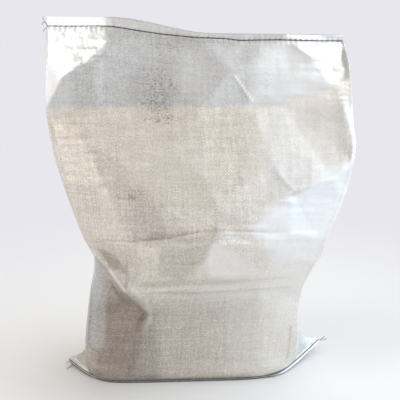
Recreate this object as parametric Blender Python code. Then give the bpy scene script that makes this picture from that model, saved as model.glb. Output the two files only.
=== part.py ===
"""Filled woven sack standing upright, its mouth and its bottom each closed by one row of stitching."""

import math

import bmesh
import bpy
import numpy as np

# Sizes in metres. X runs across the sack, Y runs from its front to its back, Z is up.
FABRIC_THICKNESS = 0.0008
SIDE_INSET = 0.0012
GAP = 0.0003
FOLD_THICKNESS = 0.0032
MOUTH_THICKNESS = 0.0022
FILL_TOP = 0.430
SLACK_START = FILL_TOP + 0.014
TOP_HEIGHT_LEFT = 0.574
TOP_HEIGHT_RIGHT = 0.549
TOP_EDGE_SLOPE = 0.009
TOP_STEP_X = -0.055
TOP_STEP_WIDTH = 0.150
MOUTH_LEFT = -0.2242
MOUTH_RIGHT = 0.215
SLACK_LENGTH = TOP_HEIGHT_LEFT - SLACK_START
SKEW = 0.05
BOTTOM_ROUND_INSET = 0.008
BOTTOM_ROUND_HEIGHT = 0.012
CORNER_LEAN = 0.3
LEAN_TOP = 0.200
LEAN_REACH = 0.100
TOP_SEAM_DROP = 0.014
THREAD_RADIUS = 0.0006
HEM_THICKNESS = 0.0018
HEM_WIDTH = 0.015
HEM_CLEARANCE = 0.0018
HEM_OUTSTAND = 0.0005
HEM_SEAM_INSET = 0.0008
MOUTH_CUT = 0.01
ACROSS = 24
MIDDLE_ROWS = 22
SLACK_ROWS = 6
THREAD_SIDES = 6

# One row per height: height, left edge, right edge, front, side edge, back, squareness, edge fullness.
SECTIONS = (
    (0.000, -0.1986, 0.1733, 0.000, 0.070, 0.138, 7.0, 0.80),
    (0.030, -0.1978, 0.1736, -0.002, 0.072, 0.142, 6.8, 0.65),
    (0.065, -0.1943, 0.1738, -0.003, 0.074, 0.145, 6.0, 0.50),
    (0.110, -0.1874, 0.1716, -0.005, 0.072, 0.144, 6.0, 0.45),
    (0.150, -0.1804, 0.1762, -0.014, 0.066, 0.139, 5.0, 0.45),
    (0.185, -0.1713, 0.1865, -0.031, 0.050, 0.126, 4.2, 0.48),
    (0.215, -0.1680, 0.1972, -0.046, 0.030, 0.106, 3.6, 0.50),
    (0.245, -0.1781, 0.2022, -0.054, 0.014, 0.082, 3.1, 0.55),
    (0.290, -0.1902, 0.2148, -0.052, 0.001, 0.053, 2.8, 0.65),
    (0.335, -0.2011, 0.2249, -0.045, -0.006, 0.031, 2.6, 0.75),
    (0.380, -0.2112, 0.2310, -0.033, -0.008, 0.016, 2.4, 0.85),
    (0.430, -0.2192, 0.2255, -0.013, -0.002, 0.009, 2.3, 0.95),
    (SLACK_START + 0.12 * SLACK_LENGTH, -0.2216, 0.2235, 0.000, 0.003, 0.006, 2.2, 1.00),
    (SLACK_START + 0.52 * SLACK_LENGTH, -0.2227, 0.2229, 0.022, 0.0237, 0.0254, 2.2, 1.00),
    (TOP_HEIGHT_LEFT, MOUTH_LEFT, MOUTH_RIGHT, 0.049, 0.0502, 0.0514, 2.2, 1.00),
)

# The belly hangs over the low left corner along this line: x, height. Left of it the front lies further back.
LEDGE = ((-0.165, 0.250), (-0.153, 0.227), (-0.118, 0.164), (-0.085, 0.127), (-0.098, 0.085), (-0.106, 0.030))
LEDGE_DEPTH = 0.027
LEDGE_STEP = 0.014
LEDGE_LOW = 0.010
LEDGE_FADE = 0.130

# Swells and hollows of the front: x, height, reach across, reach up, rise.
LAP_OVER_WAIST = (0.010, 0.232, 0.045, 0.040, 0.011)
BELLY_RIDGE = (0.030, 0.305, 0.080, 0.022, 0.005)
RIGHT_SHOULDER = (0.205, 0.385, 0.040, 0.050, 0.014)
RIGHT_BREAST = (0.145, 0.340, 0.035, 0.025, 0.004)
LEFT_HOLLOW = (-0.130, 0.240, 0.040, 0.045, -0.006)
RIGHT_FLANK = (0.165, 0.265, 0.040, 0.045, -0.006)
LEFT_MOUTH_CORNER = (-0.178, 0.508, 0.028, 0.034, 0.008)
RIGHT_MOUTH_CORNER = (0.210, 0.520, 0.035, 0.045, -0.013)
LEFT_BOX_CORNER = (-0.180, 0.080, 0.014, 0.050, 0.014)
RIGHT_BOX_CORNER = (0.158, 0.075, 0.014, 0.050, 0.009)
FRONT_FOLDS = (
    LAP_OVER_WAIST,
    BELLY_RIDGE,
    RIGHT_SHOULDER,
    RIGHT_BREAST,
    LEFT_HOLLOW,
    RIGHT_FLANK,
    LEFT_MOUTH_CORNER,
    RIGHT_MOUTH_CORNER,
    LEFT_BOX_CORNER,
    RIGHT_BOX_CORNER,
)
FOLDS_START = 0.012
FOLDS_RISE = 0.030
EDGE_REACH = 0.08
EDGE_POWER = 12
SLACK_FOLDS = 0.400
SLACK_FOLDS_REACH = 0.060

# The hem runs under the front edge between these two x values, and out to the tips of the ears: x, y, rise.
HEM_LEAVES_LEFT = -0.160
HEM_LEAVES_RIGHT = 0.105
HEM_STEPS = 16
LEFT_EAR_HEM = ((-0.228, 0.056, 0.004), (-0.206, 0.034, 0.002), (-0.187, 0.016, 0.0005))
RIGHT_EAR_HEM = (
    (0.130, 0.014, 0.0),
    (0.148, 0.029, 0.0005),
    (0.168, 0.052, 0.002),
    (0.193, 0.081, 0.006),
    (0.219, 0.110, 0.012),
)
EAR_INSET = 0.010
EAR_SUNK = 0.37
LEFT_EAR_TOP = (-0.189, 0.078, 0.042)
RIGHT_EAR_TOP = (0.167, 0.088, 0.062)


def clear_scene():
    for obj in list(bpy.data.objects):
        bpy.data.objects.remove(obj, do_unlink=True)


def section_values(height):
    """The table's values at this height, on a smooth curve through its rows."""
    table = np.array(SECTIONS)
    heights = table[:, 0]
    slopes = np.gradient(table, heights, axis=0)
    index = int(np.clip(np.searchsorted(heights, height, side="right") - 1, 0, len(heights) - 2))
    span = heights[index + 1] - heights[index]
    t = (height - heights[index]) / span
    start = table[index] * (2 * t**3 - 3 * t**2 + 1) + slopes[index] * span * (t**3 - 2 * t**2 + t)
    end = table[index + 1] * (3 * t**2 - 2 * t**3) + slopes[index + 1] * span * (t**3 - t**2)
    return (start + end)[1:]


def smooth_step(t):
    t = min(max(t, 0.0), 1.0)
    return t * t * (3 - 2 * t)


def top_height(x):
    drop = TOP_HEIGHT_LEFT - TOP_HEIGHT_RIGHT
    step = smooth_step((x - TOP_STEP_X) / TOP_STEP_WIDTH + 0.5)
    slope_drop = TOP_EDGE_SLOPE * (MOUTH_RIGHT - MOUTH_LEFT)
    return TOP_HEIGHT_LEFT - TOP_EDGE_SLOPE * (x - MOUTH_LEFT) - (drop - slope_drop) * step


def lifted(x, height):
    """The slack mouth is lower on the right, so heights above the contents shrink there."""
    if height <= SLACK_START:
        return height
    share = (height - SLACK_START) / SLACK_LENGTH
    return SLACK_START + share * (top_height(x) - SLACK_START)


def bottom_inset(height):
    if height >= BOTTOM_ROUND_HEIGHT:
        return 0.0
    rise = 1 - height / BOTTOM_ROUND_HEIGHT
    return BOTTOM_ROUND_INSET * (1 - math.sqrt(1 - rise * rise))


def least_thickness(height):
    share = smooth_step((height - SLACK_START) / (SLACK_LENGTH / 2))
    return FOLD_THICKNESS + (MOUTH_THICKNESS - FOLD_THICKNESS) * share


def left_of_ledge(x, height):
    """How far this place lies to the left of the ledge's line, negative to the right of it."""
    nearest = None
    for (ax, az), (bx, bz) in zip(LEDGE, LEDGE[1:]):
        dx, dz = bx - ax, bz - az
        length = math.hypot(dx, dz)
        t = min(max(((x - ax) * dx + (height - az) * dz) / length**2, 0.0), 1.0)
        distance = math.hypot(x - ax - t * dx, height - az - t * dz)
        if nearest is None or distance < abs(nearest):
            left = (x - ax) * dz - (height - az) * dx > 0
            nearest = distance if left else -distance
    return nearest


def fold_rise(x, height):
    """How far the folds bring the front forward here."""
    rise = 0.0
    for middle, level, across, up, most in FRONT_FOLDS:
        rise += most * math.exp(-(((x - middle) / across) ** 2) - ((height - level) / up) ** 2)
    return rise * smooth_step((height - FOLDS_START) / FOLDS_RISE)


def ledge_drop(x, height):
    """How far the front lies back under the ledge."""
    drop = LEDGE_DEPTH * smooth_step(left_of_ledge(x, height) / LEDGE_STEP + 0.5)
    return drop * smooth_step((height - LEDGE_LOW) / LEDGE_FADE) * (height < LEDGE[0][1])


def section(height, inset, side_inset):
    """The loop of points at one height: the front from left to right, then the back from right to left."""
    left, right, front, edge, back, square, full = section_values(height)
    round_in = bottom_inset(height)
    centre = (left + right) / 2
    half = (right - left) / 2 - round_in
    least = least_thickness(height) / 2
    front_depth = max(edge - front - round_in, least)
    back_depth = max(back - edge - round_in, least)
    lean = CORNER_LEAN * smooth_step((LEAN_TOP - height) / LEAN_REACH)
    slack = smooth_step((height - SLACK_FOLDS) / SLACK_FOLDS_REACH)
    loop = []
    for side, depth in ((-1, front_depth), (1, back_depth)):
        row = []
        for i in range(ACROSS + 1):
            s = -math.cos(math.pi * i / ACROSS)
            shape = max(1 - abs(s) ** (square * (1 - lean * s)), 0.0) ** full
            reach = least + (depth - least) * shape - inset
            x = centre + s * (half - side_inset * abs(s) ** EDGE_POWER)
            rise = fold_rise(centre + s * half, height)
            if side < 0:
                rise -= ledge_drop(centre + s * half, height) * smooth_step((1 - abs(s)) / EDGE_REACH)
            else:
                at_edge = fold_rise(centre + math.copysign(half, s), height)
                rise = slack * rise + (1 - slack) * at_edge * math.exp(-(1 - abs(s)) / EDGE_REACH)
            y = edge + side * reach + SKEW * x - rise
            row.append((x, y))
        loop += row if side < 0 else row[::-1]
    return [(x, y, lifted(x, height)) for x, y in loop]


def body_heights():
    low = [BOTTOM_ROUND_HEIGHT * share for share in (0.0, 0.07, 0.18, 0.36, 0.64)]
    middle = list(np.linspace(BOTTOM_ROUND_HEIGHT, FILL_TOP, MIDDLE_ROWS))
    seam = TOP_HEIGHT_LEFT - TOP_SEAM_DROP
    high = list(np.linspace(SLACK_START, seam, SLACK_ROWS))
    return low + middle + high + [TOP_HEIGHT_LEFT]


def lofted(name, loops):
    """A closed solid through loops of equally many points, with the same diagonals on every solid's walls."""
    mesh = bmesh.new()
    rings = [[mesh.verts.new(point) for point in loop] for loop in loops]
    count = len(rings[0])
    for low, high in zip(rings, rings[1:]):
        for i in range(count):
            j = (i + 1) % count
            mesh.faces.new((low[i], low[j], high[j]))
            mesh.faces.new((low[i], high[j], high[i]))
    half = count // 2
    for ring, up in ((rings[0], False), (rings[-1], True)):
        for i in range(half - 1):
            face = (ring[i], ring[i + 1], ring[count - 2 - i], ring[count - 1 - i])
            mesh.faces.new(face if up else face[::-1])
    bmesh.ops.recalc_face_normals(mesh, faces=mesh.faces)
    return object_from(name, mesh)


def object_from(name, mesh):
    data = bpy.data.meshes.new(name)
    mesh.to_mesh(data)
    mesh.free()
    obj = bpy.data.objects.new(name, data)
    bpy.context.scene.collection.objects.link(obj)
    return obj


def unit(vector):
    return vector / np.linalg.norm(vector)


def hem_frame():
    """Points along the hem's outer edge, and the direction from each of them in towards the sack."""
    front = np.array(section(BOTTOM_ROUND_HEIGHT, 0.0, 0.0)[: ACROSS + 1])
    path = list(LEFT_EAR_HEM)
    for x in np.linspace(HEM_LEAVES_LEFT, HEM_LEAVES_RIGHT, HEM_STEPS):
        path.append((x, float(np.interp(x, front[:, 0], front[:, 1])) - HEM_OUTSTAND, 0.0))
    path = np.array(path + list(RIGHT_EAR_HEM))
    along = np.gradient(path[:, :2], axis=0)
    inward = np.array([unit(np.array((-a[1], a[0]))) for a in along])
    return path, inward


def hem_strip():
    path, inward = hem_frame()
    loops = []
    for (x, y, rise), (nx, ny) in zip(path, inward):
        low = HEM_CLEARANCE + rise
        near = (x, y)
        far = (x + nx * HEM_WIDTH, y + ny * HEM_WIDTH)
        loops.append(
            [
                (near[0], near[1], low),
                (far[0], far[1], low),
                (far[0], far[1], low + HEM_THICKNESS),
                (near[0], near[1], low + HEM_THICKNESS),
            ]
        )
    return lofted("hem_strip", loops)


def ear(name, path_points, top):
    """A flat flap that stands on the hem and runs up to the side of the sack."""
    low = HEM_CLEARANCE + EAR_SUNK * HEM_THICKNESS
    corners = [np.array((x + nx * EAR_INSET, y + ny * EAR_INSET, low + rise)) for x, y, rise, nx, ny in path_points]
    corners.append(np.array(top))
    normal = unit(np.cross(corners[-1] - corners[0], corners[len(path_points) - 1] - corners[0]))
    if normal[1] > 0:
        normal = -normal
    back = [tuple(c) for c in corners]
    front = [tuple(c + normal * HEM_THICKNESS) for c in corners]
    mesh = bmesh.new()
    first = [mesh.verts.new(p) for p in back]
    second = [mesh.verts.new(p) for p in front]
    count = len(first)
    for ring in (first, second):
        for i in range(count - 2):
            mesh.faces.new((ring[count - 1], ring[i], ring[i + 1]))
    for i in range(count):
        j = (i + 1) % count
        mesh.faces.new((first[i], first[j], second[j], second[i]))
    bmesh.ops.recalc_face_normals(mesh, faces=mesh.faces)
    return object_from(name, mesh)


def boolean(target, tool, operation):
    tool.hide_render = True
    tool.display_type = "WIRE"
    modifier = target.modifiers.new(operation.lower() + "_" + tool.name, "BOOLEAN")
    modifier.operation = operation
    modifier.solver = "EXACT"
    modifier.object = tool


def tube(name, points, across):
    """A closed loop of thread through these points. At each point, across is square to the loop's plane."""
    points = np.array(points)
    mesh = bmesh.new()
    rings = []
    count = len(points)
    for i in range(count):
        along = unit(points[(i + 1) % count] - points[i - 1])
        side = unit(np.cross(along, np.array(across[i])))
        over = np.cross(side, along)
        ring = []
        for k in range(THREAD_SIDES):
            angle = 2 * math.pi * k / THREAD_SIDES
            offset = math.cos(angle) * side + math.sin(angle) * over
            ring.append(mesh.verts.new(points[i] + THREAD_RADIUS * offset))
        rings.append(ring)
    for i in range(count):
        low, high = rings[i], rings[(i + 1) % count]
        for k in range(THREAD_SIDES):
            m = (k + 1) % THREAD_SIDES
            mesh.faces.new((low[k], low[m], high[m], high[k]))
    bmesh.ops.recalc_face_normals(mesh, faces=mesh.faces)
    return object_from(name, mesh)


def top_thread():
    loop = section(TOP_HEIGHT_LEFT - TOP_SEAM_DROP, 0.0, 0.0)
    count = len(loop)
    stand_off = GAP + THREAD_RADIUS
    points = []
    for index, (x, y, z) in enumerate(loop):
        front = index < count // 2
        points.append((x, y - stand_off if front else y + stand_off, z))
    right = loop[count // 2 - 1]
    left = loop[0]
    middle_right = (right[0] + 2 * stand_off, (right[1] + loop[count // 2][1]) / 2, right[2])
    middle_left = (left[0] - 2 * stand_off, (left[1] + loop[-1][1]) / 2, left[2])
    ends = points[: count // 2] + [middle_right] + points[count // 2 :] + [middle_left]
    return tube("top_stitch", ends, [(0.0, 0.0, 1.0)] * len(ends))


def bottom_thread():
    path, inward = hem_frame()
    stand_off = GAP + THREAD_RADIUS
    line = [
        (x + nx * HEM_SEAM_INSET, y + ny * HEM_SEAM_INSET, HEM_CLEARANCE + rise)
        for (x, y, rise), (nx, ny) in zip(path, inward)
    ]
    over = [(x, y, z + HEM_THICKNESS + stand_off) for x, y, z in line]
    under = [(x, y, z - stand_off) for x, y, z in line]
    start = unit(np.array(line[0]) - np.array(line[1])) * 2 * stand_off
    end = unit(np.array(line[-1]) - np.array(line[-2])) * 2 * stand_off
    first = np.array(line[0]) + start + (0, 0, HEM_THICKNESS / 2)
    last = np.array(line[-1]) + end + (0, 0, HEM_THICKNESS / 2)
    square = [(nx, ny, 0.0) for nx, ny in inward]
    across = square + [square[-1]] + square[::-1] + [square[0]]
    return tube("bottom_stitch", over + [tuple(last)] + under[::-1] + [tuple(first)], across)


def centre_over_base(objects):
    """Moves the model so that the middle of its bounding box's bottom is the origin."""
    points = np.array([v.co for obj in objects for v in obj.data.vertices])
    middle = (points.min(axis=0) + points.max(axis=0)) / 2
    for obj in objects:
        for vertex in obj.data.vertices:
            vertex.co.x -= middle[0]
            vertex.co.y -= middle[1]


def material(obj, colour, roughness):
    made = bpy.data.materials.new(obj.name)
    made.use_nodes = True
    shader = made.node_tree.nodes["Principled BSDF"]
    shader.inputs["Base Color"].default_value = (*colour, 1.0)
    shader.inputs["Roughness"].default_value = roughness
    obj.data.materials.append(made)


def build():
    clear_scene()
    heights = body_heights()
    sack = lofted("woven_sack", [section(h, 0.0, 0.0) for h in heights])
    inner = []
    for h in heights:
        loop = section(h, FABRIC_THICKNESS, SIDE_INSET)
        if h == 0.0:
            loop = [(x, y, FABRIC_THICKNESS) for x, y, z in loop]
        elif h < FABRIC_THICKNESS * 3:
            continue
        if h == TOP_HEIGHT_LEFT:
            loop = [(x, y, z + MOUTH_CUT) for x, y, z in loop]
        inner.append(loop)
    cavity = lofted("cavity", inner)
    path, inward = hem_frame()
    steps = np.hstack((path, inward))
    left_ear = ear("left_ear", steps[:5], LEFT_EAR_TOP)
    right_ear = ear("right_ear", steps[:-6:-1], RIGHT_EAR_TOP)
    strip = hem_strip()
    boolean(sack, strip, "UNION")
    boolean(sack, left_ear, "UNION")
    boolean(sack, right_ear, "UNION")
    boolean(sack, cavity, "DIFFERENCE")
    material(sack, (0.80, 0.79, 0.76), 0.42)

    fill_loops = []
    for h in heights:
        if h > FILL_TOP or 0.0 < h < FABRIC_THICKNESS * 3:
            continue
        loop = section(h, FABRIC_THICKNESS + GAP, SIDE_INSET + GAP)
        if h == 0.0:
            loop = [(x, y, FABRIC_THICKNESS + GAP) for x, y, z in loop]
        fill_loops.append(loop)
    fill = lofted("cement_fill", fill_loops)
    material(fill, (0.60, 0.56, 0.49), 0.95)

    threads = [top_thread(), bottom_thread()]
    for thread in threads:
        material(thread, (0.05, 0.045, 0.035), 0.8)
    centre_over_base([sack, fill, cavity, strip, left_ear, right_ear] + threads)


build()
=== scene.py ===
import math

import bmesh
import bpy
import numpy as np
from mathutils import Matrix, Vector
from mathutils.bvhtree import BVHTree
from mathutils.geometry import delaunay_2d_cdt


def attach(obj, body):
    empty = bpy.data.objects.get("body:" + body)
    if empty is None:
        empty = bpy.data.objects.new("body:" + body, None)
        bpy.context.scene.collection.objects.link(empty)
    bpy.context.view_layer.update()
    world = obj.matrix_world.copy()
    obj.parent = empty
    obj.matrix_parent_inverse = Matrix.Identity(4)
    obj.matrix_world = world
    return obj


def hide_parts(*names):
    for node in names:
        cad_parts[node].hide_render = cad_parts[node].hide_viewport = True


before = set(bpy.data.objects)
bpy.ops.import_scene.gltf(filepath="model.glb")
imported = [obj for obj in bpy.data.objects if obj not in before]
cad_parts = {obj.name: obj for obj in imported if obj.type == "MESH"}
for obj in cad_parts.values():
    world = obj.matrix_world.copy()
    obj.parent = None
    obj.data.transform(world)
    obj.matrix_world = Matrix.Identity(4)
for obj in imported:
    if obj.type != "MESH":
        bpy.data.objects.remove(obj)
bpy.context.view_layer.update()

# The sack is worked out with the foot of its front at y 0, then moved onto the CAD's own origin.
cadMiddle = np.array((0.00069, 0.04273, 0.0))
millimetre = 0.001
# corners of a mesh that lie closer than this are one
samePlace = 0.00002

# the camera, with its focal length and the middle of the square picture in pixels
viewSetup = {"place": (0.0, -0.822, 0.506), "tilt": 13.65, "focal": 560.0, "centre": 200.0}
pictureSize = int(2 * viewSetup["centre"])


def onPicture(points):
    tilt = math.radians(viewSetup["tilt"])
    offset = points - np.array(viewSetup["place"])
    forward = offset[..., 1] * math.cos(tilt) - offset[..., 2] * math.sin(tilt)
    up = offset[..., 1] * math.sin(tilt) + offset[..., 2] * math.cos(tilt)
    across = viewSetup["centre"] + viewSetup["focal"] * offset[..., 0] / forward
    down = viewSetup["centre"] - viewSetup["focal"] * up / forward
    return across, down


def smoothStep(t):
    t = np.clip(t, 0.0, 1.0)
    return t * t * (3 - 2 * t)


def unit(vectors):
    return vectors / np.linalg.norm(vectors, axis=-1, keepdims=True)


def travelled(path):
    # how far along the path each of its points lies
    return np.concatenate(([0.0], np.cumsum(np.linalg.norm(np.diff(path, axis=0), axis=-1))))


def stepUp(values, fromAndReach):
    start, reach = fromAndReach
    return smoothStep((values - start) / reach)


def softNoise(x, y, seed, size=64):
    # smooth noise between -1 and 1 on a lattice of fixed random numbers
    lattice = np.random.default_rng(seed).uniform(-1, 1, (size, size))
    column = np.floor(x).astype(int)
    row = np.floor(y).astype(int)
    fx = smoothStep(x - column)
    fy = smoothStep(y - row)
    near, far = column % size, (column + 1) % size
    low, high = [lattice[line % size, near] * (1 - fx) + lattice[line % size, far] * fx
                 for line in (row, row + 1)]
    return low * (1 - fy) + high * fy


sackSizes = {
    "backWrinkles": ((0.110, 0.030, 2.4, 41), (0.045, 0.016, 1.0, 42), (0.020, 0.009, 0.4, 43)),
    "slackStart": 0.444,
    "topLeft": 0.574,
    "topRight": 0.549,
    "topSlope": 0.009,
    "stepX": -0.055,
    "stepWidth": 0.150,
    "mouthLeft": -0.2242,
    "mouthRight": 0.215,
    "skew": 0.05,
    "footInset": 0.008,
    "footHeight": 0.012,
    "cornerLean": 0.3,
    "foldThickness": 0.0032,
    "mouthThickness": 0.0024,
    "frontColumns": 200,
    "backColumns": 100,
    "bottomRows": 8,
    "footRows": 8,
    "bodyRows": 296,
    # over how much of its height the sack goes slack, and its left corner loses its square shape
    "slackReach": 0.065,
    "leanFrom": 0.2,
    "leanReach": 0.1,
    "edgeCrowding": 0.55,
    # where the folds begin: in from the side edges, up from the foot, and on the back
    "edgeFade": 0.05,
    "footFade": (0.006, 0.03),
    "restFade": (0.004, 0.03),
    "backSlack": (0.40, 0.06),
    "backEdge": 0.06,
    "backFade": 0.25,
    "mouthGroove": 0.0015,
}

# height, left edge, right edge, front, side edge, back, squareness, edge fullness
sackSections = np.array((
    (0.000, -0.1986, 0.1733, 0.000, 0.070, 0.138, 7.0, 0.80),
    (0.030, -0.1978, 0.1736, -0.002, 0.072, 0.142, 6.8, 0.65),
    (0.065, -0.1943, 0.1738, -0.003, 0.074, 0.145, 6.0, 0.50),
    (0.110, -0.1874, 0.1716, -0.005, 0.072, 0.144, 6.0, 0.45),
    (0.150, -0.1804, 0.1762, -0.014, 0.066, 0.139, 5.0, 0.45),
    (0.185, -0.1713, 0.1865, -0.031, 0.050, 0.126, 4.2, 0.48),
    (0.215, -0.1680, 0.1972, -0.046, 0.030, 0.106, 3.6, 0.50),
    (0.245, -0.1781, 0.2022, -0.054, 0.014, 0.082, 3.1, 0.55),
    (0.290, -0.1902, 0.2148, -0.052, 0.001, 0.053, 2.8, 0.65),
    (0.335, -0.2011, 0.2249, -0.045, -0.006, 0.031, 2.6, 0.75),
    (0.380, -0.2112, 0.2310, -0.033, -0.008, 0.016, 2.4, 0.85),
    (0.430, -0.2192, 0.2255, -0.013, -0.002, 0.009, 2.3, 0.95),
    (0.4596, -0.2216, 0.2235, 0.000, 0.003, 0.006, 2.2, 1.00),
    (0.5116, -0.2227, 0.2229, 0.022, 0.0237, 0.0254, 2.2, 1.00),
    (0.574, -0.2242, 0.2150, 0.049, 0.0502, 0.0514, 2.2, 1.00),
))


def sectionValues(heights):
    levels = sackSections[:, 0]
    slopes = np.gradient(sackSections, levels, axis=0)
    index = np.clip(np.searchsorted(levels, heights, side="right") - 1, 0, len(levels) - 2)
    span = (levels[index + 1] - levels[index])[:, None]
    t = (heights[:, None] - levels[index][:, None]) / span
    start = sackSections[index] * (2 * t**3 - 3 * t**2 + 1) + slopes[index] * span * (t**3 - 2 * t**2 + t)
    end = sackSections[index + 1] * (3 * t**2 - 2 * t**3) + slopes[index + 1] * span * (t**3 - t**2)
    return (start + end)[:, 1:].T


def topHeight(x):
    size = sackSizes
    slopeDrop = size["topSlope"] * (size["mouthRight"] - size["mouthLeft"])
    step = smoothStep((x - size["stepX"]) / size["stepWidth"] + 0.5)
    drop = size["topLeft"] - size["topRight"] - slopeDrop
    return size["topLeft"] - size["topSlope"] * (x - size["mouthLeft"]) - drop * step


def bodyPoints(s, side, heights):
    size = sackSizes
    left, right, front, edge, back, square, full = [v[:, None] for v in sectionValues(heights)]
    rise = np.clip(1 - heights / size["footHeight"], 0, 1)[:, None]
    roundIn = size["footInset"] * (1 - np.sqrt(1 - rise**2))
    slack = smoothStep((heights - size["slackStart"]) / size["slackReach"])[:, None]
    least = (size["foldThickness"] + (size["mouthThickness"] - size["foldThickness"]) * slack) / 2
    half = (right - left) / 2 - roundIn
    depth = np.where(side < 0, edge - front - roundIn, back - edge - roundIn)
    depth = np.maximum(depth, least)
    # down at the box the left corner is squarer than the right one
    lean = size["cornerLean"] * smoothStep((size["leanFrom"] - heights) / size["leanReach"])[:, None]
    shape = np.clip(1 - np.abs(s)[None, :] ** (square * (1 - lean * s[None, :])), 0, 1) ** full
    x = (left + right) / 2 + s[None, :] * half
    y = edge + side[None, :] * (least + (depth - least) * shape) + size["skew"] * x
    z = np.broadcast_to(heights[:, None], x.shape).copy()
    share = (z - size["slackStart"]) / (size["topLeft"] - size["slackStart"])
    lifted = size["slackStart"] + share * (topHeight(x) - size["slackStart"])
    z = np.where(z > size["slackStart"], lifted, z)
    return np.stack((x, y, z), axis=-1)


def ringOfColumns():
    size = sackSizes
    rows = []
    for count, way in ((size["frontColumns"], 1), (size["backColumns"], -1)):
        t = np.linspace(0, 1, count + 1)
        crowded = size["edgeCrowding"]
        rows.append(way * (crowded * -np.cos(np.pi * t) + (1 - crowded) * (2 * t - 1)))
    s = np.concatenate(rows)
    side = np.concatenate((-np.ones(size["frontColumns"] + 1), np.ones(size["backColumns"] + 1)))
    return s, side


# the row of stitches along the top, as places in the picture
seamLine = ((47, 26), (70, 26.5), (100, 26), (111, 26.3), (125, 28.3), (140, 30.8), (165, 34.3),
            (195, 37.3), (226, 38.5), (240, 40.3), (262, 39.9), (280, 39.7), (313, 40.6), (345, 40.9))

# Where the cloth is creased: picture places, and how far each corner stands out beyond the sack's
# round shape, in mm.
foldCage = {
    "corners": {
        "farTopLeft": (20, 0, 0), "farTopRight": (380, 0, 0), "farLowLeft": (20, 400, 0),
        "farLowRight": (380, 400, 0),
        "farLeft": (20, 200, 0), "farRight": (380, 200, 0), "farTop": (200, 0, 0), "farLow": (200, 399, 0),
        # the top edge, and the slack panel from its seam down to the fill
        "rimA": (47, 14, -10), "rimB": (104, 15, -6), "rimC": (151, 20, -3), "rimD": (200, 26, -3),
        "rimE": (284, 29, -6), "rimF": (345, 34, -18),
        "hemA": (48, 26, -8), "hemB": (104, 26, -3), "hemC": (150, 31, 0), "hemD": (200, 37, 3),
        "hemE": (286, 40, -1), "hemF": (340, 41, -18),
        "glareEdge": (46, 66, 2), "glareA": (107, 42, 5), "glareB": (106, 54, 7), "glareC": (92, 65, 9),
        "glareD": (76, 68, 10), "glareE": (60, 80, 9), "glareG": (46, 107, 5),
        "cornerA": (311, 57, 1), "cornerB": (330, 65, -8), "cornerC": (346, 74, -6),
        "cornerOut": (343, 52, -18),
        "panelA": (150, 66, 0), "panelB": (230, 70, 7), "panelC": (290, 78, 1),
        "fillA": (100, 108, 1), "fillC": (200, 109, 4), "fillE": (283, 105, -1), "fillG": (334, 85, 0),
        "fillH": (348, 79, -1),
        # left side of the belly: a light facet, then a darker one
        "sideA": (48, 118, 0), "sideC": (63, 180, 0), "sideF": (90, 245, 0),
        "bandA": (68, 116, 1), "bandB": (84, 143, 2), "bandD": (108, 195, 2),
        "darkB": (120, 160, 1), "darkD": (160, 212, 3),
        # middle and right of the belly
        "chestA": (165, 148, 0.5), "chestC": (205, 178, 2), "chestD": (215, 205, 7),
        "knot": (291, 192, 1), "knotUp": (272, 164, 0), "shoulder": (334, 180, 8),
        "shoulderEdge": (353, 161, 12),
        "breastA": (256, 112, 2), "breastC": (346, 108, 7),
        "flankA": (266, 211, 2), "flankB": (248, 229, 4), "flankEdge": (341, 200, 0),
        "flankLow": (322, 240, -4),
        "beltA": (92, 242, 0), "beltB": (131, 244, -1), "beltC": (167, 240, 2), "beltD": (199, 232, 6),
        "beltE": (218, 231, 6), "beltG": (290, 233, 1),
        # under the belly, down to the waist
        "lapA": (141, 250, 0), "lapB": (136, 273, -3), "lapC": (180, 280, 6), "lapD": (206, 262, 12),
        "lapE": (213, 244, 11),
        "lapF": (208, 278, 15), "lapG": (265, 275, 3), "lapH": (277, 251, 3), "lapI": (312, 262, -6),
        "waistA": (127, 286, 0), "waistB": (200, 285, 4), "waistC": (260, 282, 1), "waistD": (302, 277, 0),
        "tuckA": (140, 300, 2), "tuckB": (200, 300, 0), "tuckC": (260, 298, 0), "tuckD": (296, 297, 0),
        "boxA": (145, 320, 4), "boxB": (132, 373, 2), "boxC": (262, 330, 0), "boxD": (262, 372, 0),
        "boxE": (102, 310, -16), "boxF": (98, 350, -12), "boxG": (290, 325, 8), "boxH": (288, 362, 8),
        "footA": (92, 368, 1), "footB": (165, 378, 0), "footC": (225, 377, 0), "footD": (280, 371, 2),
    },
    "creases": (
        "hemA hemB hemC hemD hemE hemF",
        "hemB glareA glareB glareC glareD glareE glareG",
        "hemE cornerA cornerB cornerC",
        "fillA fillC fillE fillG fillH",
        "sideA sideC sideF",
        "bandA bandB bandD beltB",
        "bandB darkB darkD beltD",
        "knotUp knot shoulder shoulderEdge",
        "fillE breastA knotUp",
        "knot flankA flankB beltE",
        "beltA beltB beltC beltD beltE beltG flankLow",
        "lapA lapB",
        "lapE lapD lapC",
        "lapA lapE lapH",
        "lapH lapG",
        "lapF lapG",
        "lapF lapE",
        "waistA waistB waistC waistD",
        "tuckA tuckB tuckC tuckD",
        "tuckA boxA boxB",
        "boxE boxF",
        "footA boxB footB footC boxD footD",
        "boxC boxD",
        "boxG boxH",
    ),
    "softness": 2.0,
    "flatness": 0.8,
    "above": 5000,
}


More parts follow.
